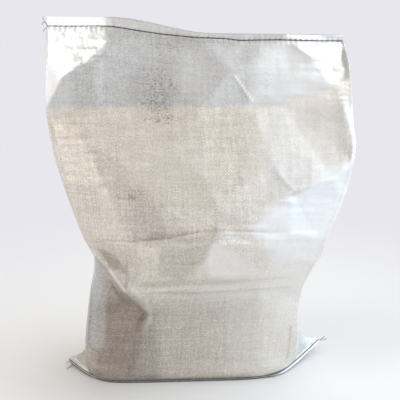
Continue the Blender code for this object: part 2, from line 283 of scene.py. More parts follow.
def cageMap(points, across, down):
    # the cloth lies flat between the cage's corners and bends along its lines, softened a little
    front = sackSizes["frontColumns"] + 1
    depth = np.linalg.norm(points - np.array(viewSetup["place"]), axis=-1) / millimetre
    seen = np.stack((across, down, depth), axis=-1)[:, :front].reshape(-1, 3)
    corners = [row * front + column for row in range(len(points) - 1) for column in range(front - 1)]
    quads = [(first, first + 1, first + front + 1, first + front) for first in corners]
    skin = BVHTree.FromPolygons(seen.tolist(), quads)
    names = list(foldCage["corners"])
    flat = [Vector(foldCage["corners"][name][:2]) for name in names]
    joined = []
    for crease in foldCage["creases"]:
        line = [names.index(name) for name in crease.split()]
        joined += zip(line, line[1:])
    places, _, faces, origins, _, _ = delaunay_2d_cdt(flat, joined, [], 0, 0.001)
    rises = []
    depths = []
    for place, origin in zip(places, origins):
        rise = np.mean([foldCage["corners"][names[index]][2] for index in origin]) if origin else 0.0
        hit = skin.ray_cast(Vector((place.x, place.y, 0)), Vector((0, 0, 1)))[0]
        nearest = np.argmin(np.hypot(seen[:, 0] - place.x, seen[:, 1] - place.y))
        rises.append((place.x, place.y, rise))
        depths.append((place.x, place.y, hit.z if hit else seen[nearest, 2]))
    maps = []
    softness = foldCage["softness"]
    reach = np.arange(-int(3 * softness), int(3 * softness) + 1)
    weights = np.exp(-0.5 * (reach / softness) ** 2)
    weights /= weights.sum()
    for surface in (rises, depths):
        tree = BVHTree.FromPolygons(surface, faces)
        heights = np.zeros((pictureSize, pictureSize))
        for row in range(pictureSize):
            for column in range(pictureSize):
                hit = tree.ray_cast(Vector((column, row, foldCage["above"])), Vector((0, 0, -1)))[0]
                heights[row, column] = hit.z if hit else 0.0
        for axis in (0, 1):
            heights = sum(w * np.roll(heights, k, axis=axis) for w, k in zip(weights, reach))
        maps.append(heights)
    return sampled(maps[0], across, down), depth - sampled(maps[1], across, down)


def sampled(grid, across, down):
    across = np.clip(across, 0, pictureSize - 1.01)
    down = np.clip(down, 0, pictureSize - 1.01)
    column = across.astype(int)
    row = down.astype(int)
    fx = across - column
    fy = down - row
    low, high = [grid[line, column] * (1 - fx) + grid[line, column + 1] * fx for line in (row, row + 1)]
    return low * (1 - fy) + high * fy


def fromLine(across, down, line):
    # distance from a line of picture places, with its sign, and how far along the line the nearest place is
    nearest = np.full(across.shape, 1e9)
    signed = np.zeros(across.shape)
    along = np.zeros(across.shape)
    steps = len(line) - 1
    for index, ((ax, ay), (bx, by)) in enumerate(zip(line, line[1:])):
        dx, dy = bx - ax, by - ay
        length = math.hypot(dx, dy)
        t = np.clip(((across - ax) * dx + (down - ay) * dy) / length**2, 0, 1)
        distance = np.hypot(across - ax - t * dx, down - ay - t * dy)
        side = np.sign((across - ax) * dy - (down - ay) * dx)
        closer = distance < nearest
        nearest = np.where(closer, distance, nearest)
        signed = np.where(closer, distance * side, signed)
        along = np.where(closer, (index + t) / steps, along)
    return signed, along


def insideOutline(across, down, corners, softness):
    # 1 inside a convex outline of picture places given clockwise, 0 outside it
    nearest = np.full(across.shape, 1e9)
    for (ax, ay), (bx, by) in zip(corners, corners[1:] + corners[:1]):
        length = math.hypot(bx - ax, by - ay)
        nearest = np.minimum(nearest, ((bx - ax) * (down - ay) - (by - ay) * (across - ax)) / length)
    return smoothStep(nearest / softness + 0.5)


# line of picture places, rise in millimetres, roundness, reach above or right of it, and below or left
creaseLines = (
    (((92, 240), (131, 243), (167, 239), (199, 232), (218, 230), (250, 231), (279, 233), (300, 232)),
     -2.2, 1.0, 7, 3),
    (((92, 243), (131, 246), (167, 242), (199, 235), (218, 233), (250, 234), (279, 236)), 0.8, 1.0, 3, 6),
    (((165, 212), (190, 221), (218, 230)), -1.6, 1.0, 7, 5),
    (((233, 73), (244, 88), (254, 103)), 1.0, 0.6, 3, 2),
    (((274, 164), (283, 178), (297, 193)), 0.6, 0.4, 2, 2),
    (((291, 192), (309, 191), (326, 187), (340, 178), (354, 160)), 1.2, 1.0, 6, 5),
    (((288, 42), (311, 57), (330, 65), (347, 73)), 1.5, 0.8, 4, 3),
    (((127, 281), (160, 280), (200, 279), (250, 276), (303, 270)), 1.5, 1.0, 4, 4),
    (((130, 289), (180, 287), (230, 285), (303, 279)), -1.4, 0.9, 3, 4),
    (((200, 292), (250, 289), (303, 284)), 1.2, 0.9, 3, 3),
    (((140, 296), (200, 296), (260, 294), (300, 290)), -1.2, 0.9, 3, 4),
)


# shares of their length over which creases, the ledge and thin marks fade in and out
fades = {"crease": (0.15, 0.15), "ledge": (0.2, 0.35), "mark": (0.1, 0.1)}


def fadedEnds(along, kind):
    first, last = fades[kind]
    return smoothStep(along / first) * smoothStep((1 - along) / last)


def creaseRise(across, down):
    total = np.zeros(across.shape)
    for line, rise, roundness, reachRight, reachLeft in creaseLines:
        signed, along = fromLine(across, down, line)
        reach = np.where(signed > 0, reachRight, reachLeft)
        spread = np.sqrt(signed**2 + roundness**2) - roundness
        total += rise * fadedEnds(along, "crease") * np.exp(-spread / reach)
    return total


# Fine wrinkles run mostly across the cloth, and the glare corner is crumpled: reach across and down in
# pixels, rise in mm, seed.
wrinkles = {
    "layers": ((34.0, 4.5, 0.40, 11), (17.0, 7.0, 0.40, 12), (50.0, 2.6, 0.18, 13), (4.0, 22.0, 0.10, 14)),
    "crumples": ((6.0, 5.0, 0.5, 15), (3.2, 2.8, 0.25, 16)),
    "crumpled": ((46, 22), (104, 22), (104, 54), (92, 66), (76, 68), (60, 80), (46, 106)),
    "pinched": ((104, 262), (132, 264), (156, 296), (154, 322), (140, 316), (118, 290)),
    "seamLength": 5.2,
    "seamPucker": 0.35,
    "seamReach": 4.0,
    "seamUneven": ((4.0, 9.0, 0.7, 17),),
    "seamSink": (0.9, 1.2),
    "softness": 8.0,
    "pinch": 1.6,
}


def layered(x, y, layers):
    # layers of soft noise: reach along x, reach along y, rise, seed
    return sum(rise * softNoise(x / wide, y / high, seed) for wide, high, rise, seed in layers)


def wrinkleRise(across, down):
    crumple = layered(across, down, wrinkles["crumples"])
    total = layered(across, down, wrinkles["layers"])
    for corners, share in ((wrinkles["crumpled"], 1.0), (wrinkles["pinched"], wrinkles["pinch"])):
        total += share * crumple * insideOutline(across, down, corners, wrinkles["softness"])
    # the row of stitches draws the cloth into small puckers
    seam = np.interp(across, *zip(*seamLine))
    near = np.exp(-((down - seam) / wrinkles["seamReach"]) ** 2)
    ripple = np.sin(2 * np.pi * across / wrinkles["seamLength"])
    ripple = ripple + layered(across, down, wrinkles["seamUneven"])
    sink, narrow = wrinkles["seamSink"]
    return total + wrinkles["seamPucker"] * near * ripple - sink * np.exp(-((down - seam) / narrow) ** 2)


# The belly hangs over the low left corner of the box below it.
ledge = {
    "line": ((90, 245), (97, 257), (108, 271.5), (123, 293.5), (144.5, 312), (152, 318)),
    "depth": 34.0,
    "edge": 1.4,
    "underside": 26.0,
}


def ledgeDrop(across, down):
    signed, along = fromLine(across, down, ledge["line"])
    outside = smoothStep(-signed / ledge["edge"] * 0.5 + 0.5)
    fade = np.exp(-np.clip(-signed, 0, None) / ledge["underside"])
    return -ledge["depth"] * outside * fade * fadedEnds(along, "ledge")


def sackSurface():
    size = sackSizes
    s, side = ringOfColumns()
    foot = size["footHeight"] * (1 - np.cos(np.linspace(0, np.pi / 2, size["footRows"] + 1)))[:-1]
    body = np.linspace(size["footHeight"], size["topLeft"], size["bodyRows"] + 1)
    heights = np.concatenate((foot, body))
    points = bodyPoints(s, side, heights)
    across, down = onPicture(points)
    rise, flatten = cageMap(points, across, down)
    inward = 1 - np.abs(s)
    inside = smoothStep(inward / size["edgeFade"])[None, :] * stepUp(heights, size["footFade"])[:, None]
    rise = rise + foldCage["flatness"] * inside * flatten
    rise = rise + creaseRise(across, down) + ledgeDrop(across, down) + inside * wrinkleRise(across, down)
    # the back takes the same folds where the two layers lie together, and none where the fill parts them
    slack = stepUp(heights, size["backSlack"])[:, None]
    edge = np.exp(-inward / size["backEdge"])[None, :]
    seam = np.where(s[None, :] < 0, rise[:, :1], rise[:, size["frontColumns"]:size["frontColumns"] + 1])
    behind = layered(points[..., 0], points[..., 2], size["backWrinkles"])
    behind = behind * smoothStep(inward / size["backFade"])[None, :]
    rise = np.where(side[None, :] > 0, slack * rise + (1 - slack) * (seam * edge - behind), rise)
    rise *= stepUp(heights, size["restFade"])[:, None]
    toEye = unit(np.array(viewSetup["place"]) - points)
    points = points + toEye * rise[..., None] * millimetre
    # the flat bottom, from its middle line out to the foot
    first = points[0]
    middle = first.copy()
    middle[:, 1] = sackSections[0, 4] + size["skew"] * first[:, 0]
    shares = np.linspace(0, 1, size["bottomRows"] + 1)[:-1]
    under = np.array([middle + share * (first - middle) for share in shares])
    # the mouth closes between its two layers, just below the edge
    last = points[-1]
    groove = last.copy()
    front = last[: size["frontColumns"] + 1]
    for axis in (1, 2):
        groove[:, axis] = np.interp(s, s[: len(front)], front[:, axis])
    groove[:, 1] += size["mouthThickness"] / 2
    groove[:, 2] -= size["mouthGroove"]
    return np.concatenate((under, points, groove[None])), s, side


def clothPlaces(points):
    # how far along the cloth each point lies, round the sack from the middle of its front, and up it
    front = sackSizes["frontColumns"]
    ring = np.concatenate((points, points[:, :1]), axis=1)
    steps = np.linalg.norm(np.diff(ring, axis=1), axis=-1)
    about = np.concatenate((np.zeros((len(points), 1)), np.cumsum(steps, axis=1)), axis=1)
    about -= about[:, front // 2:front // 2 + 1]
    climb = np.linalg.norm(np.diff(points, axis=0), axis=-1)[:, front // 4:3 * front // 4].mean(axis=1)
    up = np.concatenate(([0.0], np.cumsum(climb)))
    return about, np.broadcast_to(up[:, None], about.shape)


def newObject(name, data):
    obj = bpy.data.objects.new(name, data)
    bpy.context.scene.collection.objects.link(obj)
    return obj


def meshObject(name, mesh):
    data = bpy.data.meshes.new(name)
    mesh.to_mesh(data)
    mesh.free()
    return newObject(name, data)


def tubeMesh(name, points, cloth=None, masks=None):
    # a closed skin: a grid wrapped round into a tube, with cloth places as its UV map and masks as attributes
    rows, columns = points.shape[:2]
    mesh = bmesh.new()
    layers = {mask: mesh.verts.layers.float.new(mask) for mask in masks or {}}
    flat = mesh.loops.layers.uv.new("cloth")
    bmesh.ops.create_grid(mesh, x_segments=columns, y_segments=rows - 1, size=0.5, calc_uvs=True)
    closed = np.concatenate((points, points[:, :1]), axis=1)
    for face in mesh.faces:
        face.smooth = True
        for corner in face.loops:
            if cloth:
                column = int(round(corner[flat].uv.x * columns))
                row = int(round(corner[flat].uv.y * (rows - 1)))
                corner[flat].uv = (cloth[0][row, column], cloth[1][row, column])
    for vertex in mesh.verts:
        column = int(round((vertex.co.x + 0.5) * columns))
        row = int(round((vertex.co.y + 0.5) * (rows - 1)))
        vertex.co = closed[row, column] - cadMiddle
        for mask, layer in layers.items():
            vertex[layer] = masks[mask][row, column % columns]
    bmesh.ops.remove_doubles(mesh, verts=mesh.verts, dist=samePlace)
    bmesh.ops.recalc_face_normals(mesh, faces=mesh.faces)
    return meshObject(name, mesh)


# What shows on the cloth, in picture places. Outlines and lines come with their share and their softness
# or width.
sackMarks = {
    "fillLine": ((40, 108), (150, 108), (250, 107), (283, 105), (300, 98), (322, 93), (335, 84), (350, 77)),
    "fillSoftness": 8,
    "fillWander": ((9, 9, 1.5, 3), (3, 3, 0.8, 4)),
    # the foot greys from this row down to that one, by this share: cement dust and painted shade
    "dustAndShadeFoot": (285, 312, 0.45),
    # between these columns, where it is lit from the right, the foot loses this share of its dust and painted
    # shade
    "dustAndShadeRight": (185, 290, 0.8),
    # the shares of dust and painted shade that the lit left side and the painted highlight lines lack
    "litSideClear": 0.35,
    "clearUnderHighlights": 0.7,
    # painted shade: darker patches under the overhanging corner, where its shadow falls, on facets turned
    # away from the light, along the foot, and on the right rim and flank
    "paintedShadePatches": (
        (((102, 272), (158, 312), (160, 384), (96, 384), (97, 340)), 0.38, 16),
        (((104, 275), (123, 296), (144.5, 315), (141, 345), (133, 370), (108, 366)), 0.24, 6),
        (((161, 247), (212, 243), (206, 260), (182, 280), (158, 275)), 0.32, 8),
        (((128, 190), (146, 190), (176, 216), (188, 232), (188, 242), (134, 242)), 0.20, 8),
        (((150, 233), (226, 229), (226, 241), (142, 247)), 0.26, 5),
        (((206, 231), (264, 235), (264, 246), (214, 244)), 0.16, 5),
        (((208, 184), (264, 182), (276, 200), (240, 226), (212, 218)), 0.12, 12),
        (((288, 200), (302, 204), (318, 232), (288, 232)), 0.16, 5),
        (((88, 350), (104, 350), (130, 366), (130, 382), (94, 378)), 0.25, 8),
        (((60, 122), (82, 122), (104, 168), (100, 215), (86, 215)), 0.12, 12),
        (((98, 249), (108, 252), (122, 263), (127, 274), (112, 271)), 0.55, 5),
        (((96, 255), (109, 273), (107, 300), (104, 348), (80, 348), (84, 290)), 0.05, 3),
        (((84, 143), (120, 160), (160, 212), (169, 236), (131, 248), (108, 195)), 0.22, 5),
        (((92, 238), (136, 248), (140, 280), (126, 292), (104, 268)), 0.20, 8),
        (((332, 84), (356, 78), (358, 162), (342, 160), (334, 120)), 0.20, 10),
        (((268, 112), (287, 114), (291, 150), (290, 206), (266, 202)), 0.16, 7),
        (((289, 153), (314, 158), (310, 188), (289, 198)), 0.20, 5),
    ),
    "smudges": (
        ((158, 84), 22, 26, 0.52), ((156, 104), 16, 9, 0.45), ((162, 119), 22, 6, 0.50),
        ((172, 46), 30, 6, 0.45), ((265, 84), 12, 14, 0.2),
    ),
    # painted light: the side of the sack behind the overhanging corner, lit by the window, is painted grey
    # without the cement's beige
    "litSide": ((96, 255), (109, 273), (107, 300), (103, 348), (80, 348), (84, 290)),
    "litSideSoftness": 3.0,
    # above the stitches the cloth is doubled: pale share, and, as a painted highlight, whitest left of this
    # column, over this reach
    "doubled": (0.12, 112, 12),
    # painted highlight: the crumpled top left corner is paled where it glares: share and softness
    "glareHighlight": (0.5, 4.0),
    # painted light: pale patches for light from behind through the slack cloth, for the brightly lit right
    # flank, belly and foot, and for the bright left rim
    "paintedLightPatches": (
        (((274, 106), (300, 98), (352, 80), (355, 162), (292, 190), (274, 150)), 0.10, 22),
        (((186, 44), (240, 46), (240, 104), (196, 104), (176, 76)), 0.16, 20),
        (((250, 229), (298, 192), (354, 160), (342, 205), (326, 240), (256, 240)), 0.75, 9),
        (((258, 236), (328, 232), (320, 264), (268, 262)), 0.5, 10),
        (((302, 190), (340, 177), (352, 190), (332, 206), (308, 204)), 1.0, 6),
        (((200, 276), (303, 268), (300, 296), (200, 302)), 0.3, 8),
        (((222, 300), (292, 292), (290, 376), (232, 378)), 0.22, 30),
        (((46, 84), (72, 84), (72, 112), (46, 112)), 0.25, 8),
        (((42, 60), (66, 66), (58, 84), (51, 108), (42, 114)), 0.85, 6),
        (((128, 156), (206, 148), (218, 196), (180, 210)), 0.12, 20),
        (((320, 168), (356, 156), (354, 188), (338, 226), (322, 220)), 0.65, 10),
        (((262, 44), (300, 44), (342, 76), (336, 92), (283, 104), (250, 106)), 0.55, 24),
        (((214, 241), (240, 257), (268, 277), (196, 277)), 0.40, 6),
        (((216, 244), (277, 250), (300, 262), (268, 277), (240, 258)), 0.16, 8),
        (((250, 110), (352, 80), (354, 160), (322, 250), (300, 340), (270, 340), (262, 230)), 0.30, 40),
    ),
    # painted shade in thin dark lines, mostly along creases, below the stitches and along the foot, and
    # painted highlights in thin pale lines along crease ridges
    "darkLines": (
        (((117, 199), (127, 198.2), (138, 197)), 0.7, 0.5),
        (((128.5, 193.5), (131, 197), (134, 200.5)), 0.8, 0.6),
        (((134, 193.5), (131, 197), (128, 201)), 0.7, 0.4),
        (((122, 31.5), (140, 34.5), (165, 38), (200, 41), (244, 43.5)), 2.8, 0.5),
        (((108, 145), (150, 149), (192, 146)), 1.3, 0.12),
        (((140, 172), (185, 180), (235, 176)), 1.3, 0.12),
        (((84, 153), (100, 150), (120, 154)), 1.0, 0.14),
        (((93, 239.5), (131, 241), (167, 238), (199, 231.5), (218, 230), (251, 231), (279, 233)), 1.0, 0.35),
        (((176, 211), (200, 221), (218, 230)), 0.9, 0.25),
        (((288, 42), (311, 57), (330, 65), (347, 73)), 0.9, 0.5),
        (((92, 372), (120, 378), (165, 380), (215, 379), (262, 375)), 3.0, 0.45),
        (((270, 168), (282, 181), (291, 191)), 0.9, 0.3),
        (((107, 276), (118, 293.5), (132, 308.5), (144, 317)), 2.0, 0.50),
        (((126, 262), (127.5, 275), (125.5, 289)), 1.4, 0.35),
        (((225, 290), (224, 330), (226, 368)), 0.8, 0.16),
        (((130, 286), (200, 284), (303, 276)), 1.0, 0.16),
        (((136, 293), (200, 293), (303, 286)), 1.0, 0.20),
        (((291, 324), (289, 345), (286, 365)), 1.2, 0.25),
        (((86, 346), (93, 349), (100, 353)), 0.9, 0.35),
        (((92, 270), (91, 310), (88, 346)), 1.2, 0.30),
        (((47, 24), (47.5, 52), (47, 66)), 0.8, 0.35),
    ),
    # painted highlights: pale lines along the lit crease ridges
    "highlightLines": (
        (((95, 242.5), (131, 244), (167, 241), (199, 234.5), (218, 233), (251, 234), (279, 236)), 1.0, 0.2),
        (((233, 73), (243, 87), (254, 103)), 1.0, 1.0),
        (((178, 214), (200, 224), (217, 233)), 0.9, 0.25),
        (((296, 158), (305, 148), (320, 135)), 2.0, 0.25),
        (((300, 140), (309, 150), (322, 158)), 1.5, 0.20),
        (((272, 167), (284, 180), (293, 190)), 0.9, 0.35),
        (((108, 268.5), (117, 281), (126, 293)), 1.5, 1.1),
        (((110, 270.5), (116, 271.5), (122, 270.5)), 1.8, 0.5),
        (((127, 284), (134, 291), (142, 299)), 2.6, 0.40),
        (((145, 300), (150, 311), (151, 326)), 2.6, 0.38),
        (((151, 316), (147, 325), (142, 335)), 2.4, 0.18),
        (((150, 289), (220, 288), (300, 281)), 1.2, 0.25),
        (((140, 298), (210, 297), (300, 291)), 1.5, 0.22),
        (((268, 304), (275, 316), (280, 328)), 5.0, 0.25),
        (((354, 160), (340, 172), (322, 181), (293, 191)), 1.2, 0.4),
    ),
}


# the back has no picture places: heights in metres, each with the reach of its edge, and shares
backMarks = {
    "fill": (0.444, 0.008),
    "soil": 0.15,
    "dustAndShade": (0.16, 0.05, 0.225),
    "mouth": (0.55, 0.004, 0.35),
}


def alongLines(across, down, lines):
    # thin soft lines in the picture, fading out at their ends
    total = np.zeros(across.shape)
    for line, width, share in lines:
        signed, along = fromLine(across, down, line)
        total += share * np.exp(-(signed / width) ** 2) * fadedEnds(along, "mark")
    return total


def sackMasks(points, side):
    marks = sackMarks
    across, down = onPicture(points)
    height = points[..., 2]
    line = np.interp(across, *zip(*marks["fillLine"]))
    wander = layered(across, down, marks["fillWander"])
    # painted light: the lit left side of the box loses the cement's beige
    litSide = insideOutline(across, down, marks["litSide"], marks["litSideSoftness"])
    filled = smoothStep((down + wander - line) / marks["fillSoftness"] + 0.5) * (1 - litSide)
    soil = sum(share * np.exp(-((across - x) / wide) ** 2 - ((down - y) / high) ** 2)
               for (x, y), wide, high, share in marks["smudges"])
    # cement dust and painted shade grey the foot of the sack, and painted shadow darkens it most of all under
    # the overhanging corner
    top, low, share = marks["dustAndShadeFoot"]
    left, right, less = marks["dustAndShadeRight"]
    less = less * smoothStep((across - left) / (right - left))
    dustAndShade = share * smoothStep((down - top) / (low - top)) * (1 - less)
    for corners, more, softness in marks["paintedShadePatches"]:
        dustAndShade = dustAndShade + more * insideOutline(across, down, corners, softness)
    # painted highlights clear dust and painted shade along the crease ridges, and pale the cloth there
    highlights = np.minimum(alongLines(across, down, marks["highlightLines"]), 1.0)
    dustAndShade = dustAndShade * (1 - marks["litSideClear"] * litSide) * (1 - marks["clearUnderHighlights"] * highlights)
    dustAndShade = np.minimum(dustAndShade + alongLines(across, down, marks["darkLines"]), 1.0)
    share, whitest, reach = marks["doubled"]
    aboveSeam = smoothStep((np.interp(across, *zip(*seamLine)) - down) / 2 + 0.5)
    pale = aboveSeam * (share + (1 - share) * smoothStep((whitest - across) / reach))
    # painted highlight on the glaring crumpled corner, then painted light in the patches
    share, softness = marks["glareHighlight"]
    for corners, more, softness in ((wrinkles["crumpled"], share, softness), *marks["paintedLightPatches"]):
        pale = np.maximum(pale, more * insideOutline(across, down, corners, softness))
    pale = np.maximum(pale, highlights)
    (fillTop, fillReach), (dustTop, dustReach, dust) = backMarks["fill"], backMarks["dustAndShade"]
    mouthFrom, mouthReach, mouthPale = backMarks["mouth"]
    behind = {
        "filled": smoothStep((fillTop - height) / fillReach + 0.5),
        "soil": backMarks["soil"],
        "dustAndShade": dust * smoothStep((dustTop - height) / dustReach),
        "pale": mouthPale * smoothStep((height - mouthFrom) / mouthReach),
    }
    ahead = {"filled": filled, "soil": soil, "dustAndShade": dustAndShade, "pale": pale}
    return {name: np.where(side[None, :] < 0, ahead[name], behind[name]) for name in ahead}


points, s, side = sackSurface()
sack = tubeMesh("sack", points, clothPlaces(points), sackMasks(points, side))
print("sack", points.shape, len(sack.data.polygons))
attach(sack, "root")
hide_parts("woven_sack")

# The hem runs along the front of the foot and out to the tips of the two ears: x, y, rise.
hemSizes = {
    "leftEar": ((-0.228, 0.056, 0.004), (-0.206, 0.034, 0.002), (-0.187, 0.016, 0.0005)),
    "rightEar": ((0.130, 0.014, 0.0), (0.148, 0.029, 0.0005), (0.168, 0.052, 0.002), (0.193, 0.081, 0.006),
                 (0.219, 0.110, 0.012)),
    "leavesLeft": -0.160,
    "leavesRight": 0.105,
    "outstand": -0.001,
    "clearance": 0.0018,
    "thickness": 0.0018,
    # the cloth keeps the root of this share of its thickness at its rims
    "thinnest": 0.02,
    "width": 0.015,
    "seamInsetsAt": (0.09, 0.15),
    "seamInsets": (0.0012, 0.0036),
    "steps": 360,
    # the front of the foot, just short of its two corners
    "footShare": 0.99,
    "footSteps": 200,
    "restSteps": 14,
    "acrossSteps": 12,
    "roll": 0.004,
    # puckers, and how much flatter they are at the hem's two edges
    "pucker": 0.0002,
    "puckerLength": 0.0075,
    "puckerEdge": 0.7,
    "wander": (0.0008, 0.02, 2.0, 21),
    # where the hem becomes an ear, and where it leaves the painted shade along the front for the painted
    # light at the ears: middle, way out from it, reach
    "earStart": (0.03, 0.125, 0.06),
    "earLightStart": (0.02, 0.135, 0.03),
    # soil: least, and more along the front as painted shade; pale: painted light at the ears
    "soil": (0.1, 0.4),
    "pale": 0.45,
    "clothStart": (0.0, -0.02),
}


def resampled(path, count):
    # the same number of even steps along a smooth curve through the path's points
    path = np.array(path, float)
    for _ in range(3):
        middles = (path[:-1] + path[1:]) / 2
        halves = np.empty((2 * len(path) - 1, path.shape[1]))
        halves[0::2] = path
        halves[1::2] = middles
        halves[2:-2:2] = 0.125 * halves[0:-4:2] + 0.75 * halves[2:-2:2] + 0.125 * halves[4::2]
        path = halves
    length = travelled(path)
    even = np.linspace(0, length[-1], count)
    return np.stack([np.interp(even, length, path[:, axis]) for axis in range(path.shape[1])], axis=1), even


def hemRoute():
    # the hem's outer edge, the way in towards the sack from each point of it, and how far along each lies
    size = hemSizes
    s = np.linspace(-size["footShare"], size["footShare"], size["footSteps"])
    foot = bodyPoints(s, -np.ones(len(s)), np.array([sackSizes["footHeight"]]))[0]
    path = list(size["leftEar"])
    for x in np.linspace(size["leavesLeft"], size["leavesRight"], size["restSteps"]):
        path.append((x, float(np.interp(x, foot[:, 0], foot[:, 1])) - size["outstand"], 0.0))
    path, along = resampled(path + list(size["rightEar"]), size["steps"])
    ahead = np.gradient(path[:, :2], axis=0)
    return path, unit(np.stack((-ahead[:, 1], ahead[:, 0]), axis=1)), along


def outFrom(x, middle, start, reach):
    return smoothStep((np.abs(x + middle) - start) / reach)


def acrossGrid(grid):
    return unit(np.cross(np.gradient(grid, axis=1), np.gradient(grid, axis=0)))


def slab(grid, thickness):
    # the rings of a closed sheet, half its thickness to each side of a grid of points
    out = acrossGrid(grid) * np.broadcast_to(thickness, grid.shape[:2])[..., None] / 2
    rings = np.concatenate((grid + out, (grid - out)[:, ::-1]), axis=1)
    ends = [np.concatenate((grid[row], grid[row][::-1]))[None] for row in (0, -1)]
    return np.concatenate((ends[0], rings, ends[1]))


def slabPlaces(rings, grid, start):
    # cloth places of a sheet, the same on both its faces
    across = travelled(grid[len(grid) // 2])
    up = np.concatenate(([0.0], np.cumsum(np.linalg.norm(np.diff(grid, axis=0), axis=-1).max(axis=1))))
    up = np.concatenate((up[:1], up, up[-1:]))
    across = np.concatenate((across, across[::-1], across[:1]))
    shape = (len(rings), rings.shape[1] + 1)
    return [np.broadcast_to(places, shape) for places in (across[None, :] + start[0], up[:, None] + start[1])]


def hemGrid():
    # rows run across the hem's width, columns along it
    size = hemSizes
    path, inward, along = hemRoute()
    share = 0.5 - 0.5 * np.cos(np.linspace(0, np.pi, size["acrossSteps"]))
    grid = np.zeros((len(share), len(path), 3))
    low = size["clearance"] + size["thickness"] / 2
    earness = outFrom(path[:, 0], *size["earStart"])
    pucker = size["pucker"] * np.sin(2 * np.pi * along / size["puckerLength"])
    height, reach, layers, seed = size["wander"]
    for row, part in enumerate(share):
        wave = pucker * (1 - size["puckerEdge"] * abs(2 * part - 1))
        wander = height * softNoise(along / reach, np.full(len(along), part * layers), seed) * earness
        grid[row, :, :2] = path[:, :2] + inward * (part * size["width"])
        grid[row, :, 2] = low + path[:, 2] + part * size["roll"] * earness + wave + np.abs(wander)
    edge = np.clip(np.minimum(share, 1 - share) * size["width"] / (size["thickness"] / 2), 0, 1)
    thickness = size["thickness"] * np.sqrt(np.clip(1 - (1 - edge) ** 2, size["thinnest"], 1))
    return grid, thickness[:, None]


def clothPiece(name, grid, thickness, masks, start):
    rings = slab(grid, thickness)
    masks = {mask: np.broadcast_to(value, rings.shape[:2]) for mask, value in masks.items()}
    piece = tubeMesh(name, rings, slabPlaces(rings, grid, start), masks)
    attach(piece, "root")
    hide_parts("woven_sack")
    return piece


grid, thickness = hemGrid()
# painted shade darkens the hem along the front, where it lies in the sack's contact shadow, and painted light
# keeps it white at the ears
earLight = outFrom(grid[0, :, 0], *hemSizes["earLightStart"])
earLight = np.concatenate((earLight, earLight[::-1]))
least, more = hemSizes["soil"]
hemMasks = {"filled": 0.0, "soil": least + more * (1 - earLight), "dustAndShade": 1 - earLight,
            "pale": hemSizes["pale"] * earLight}
hem = clothPiece("hem", grid, thickness, hemMasks, hemSizes["clothStart"])
print("hem", len(hem.data.polygons))


# the flat flaps between the hem's ends and the sides of the sack
earSizes = {
    # pale: painted light on the flaps, which face up into the light
    "left": {"top": (-0.188, 0.072, 0.030), "spread": (0.012, -0.040, -0.014), "sag": 0.004, "reach": 0.15,
             "folds": 2.0, "foldHeight": 0.0016, "seed": 31, "pale": 0.35},
    "right": {"top": (0.168, 0.086, 0.060), "spread": (-0.012, -0.035, -0.012), "sag": 0.008, "reach": 0.20,
              "folds": 2.5, "foldHeight": 0.0018, "seed": 32, "pale": 0.15},
    "inset": 0.009,
    "thickness": 0.0016,
    "columns": 60,
    "rows": 40,
    # how far the flaps lie above the hem, in its thickness and its roll
    "above": (0.9, 0.6),
    "sagPower": 1.5,
    "foldSlant": 1.5,
    "foldPower": 0.7,
    "crumple": (0.5, 6, 4),
    "soil": 0.1,
    "clothStart": (0.4, 0.0),
}


def earGrid(side, size):
    path, inward, along = hemRoute()
    count = int(len(path) * size["reach"])
    chosen = np.arange(count) if side == "left" else np.arange(len(path) - 1, len(path) - 1 - count, -1)
    thicknesses, rolls = size["above"]
    base = np.zeros((count, 3))
    base[:, :2] = path[chosen, :2] + inward[chosen] * size["inset"]
    base[:, 2] = path[chosen, 2] + hemSizes["clearance"]
    base[:, 2] += hemSizes["thickness"] * thicknesses + hemSizes["roll"] * rolls
    base, _ = resampled(base, size["columns"])
    u = np.linspace(0, 1, size["columns"])[None, :]
    v = np.linspace(0, 1, size["rows"])[:, None]
    top = np.array(size["top"]) + u[0][:, None] * np.array(size["spread"])
    grid = base[None] * (1 - v[..., None]) + top[None] * v[..., None]
    between = 4 * v * (1 - v)
    grid[..., 2] -= size["sag"] * between * (1 - u) ** size["sagPower"]
    fold = np.sin(np.pi * size["folds"] * u + size["foldSlant"] * v) * between ** size["foldPower"]
    share, wide, high = size["crumple"]
    fold = fold + share * softNoise(u * wide + 0 * v, v * high + 0 * u, size["seed"])
    return grid + acrossGrid(grid) * (size["foldHeight"] * fold)[..., None]


ears = []
for side in ("left", "right"):
    size = {**earSizes, **earSizes[side]}
    # the flaps are paled with painted light
    earMasks = {"filled": 0.0, "soil": size["soil"], "dustAndShade": 0.0, "pale": size["pale"]}
    grid = earGrid(side, size)
    ears.append(clothPiece("ear_" + side, grid, size["thickness"], earMasks, size["clothStart"]))
print("ears", [len(ear.data.polygons) for ear in ears])


# Chain stitching: long stitches with short dips on the face, and a chain of loops behind.
seamSizes = {
    "radius": 0.0007,
    "stitch": 0.0078,
    "dip": 0.0009,
    "step": 0.0005,
    "chainHalf": 0.0009,
    "sides": 6,
    # no thread runs this way, so its rings are turned by it
    "reference": (0.13, 1.0, 0.21),
    "bottomChain": 0.6,
    # radii and steps of the loose ends
    "end": 0.00035,
    "thickEnd": 0.00045,
    "endSteps": 24,
    # the top seam is looked for this many rows above the foot, near this many rows below the mouth, and its
    # places behind are at least this far apart
    "searchFrom": 200,
    "belowMouth": 8,
    "leastStep": 0.0005,
    # how far the top thread stands out, at shares of its length, in shares of its radius
    "proudAt": (0.0, 0.16, 0.20, 1.0),
    "proud": (-0.3, -0.3, 1.0, 1.0),
}


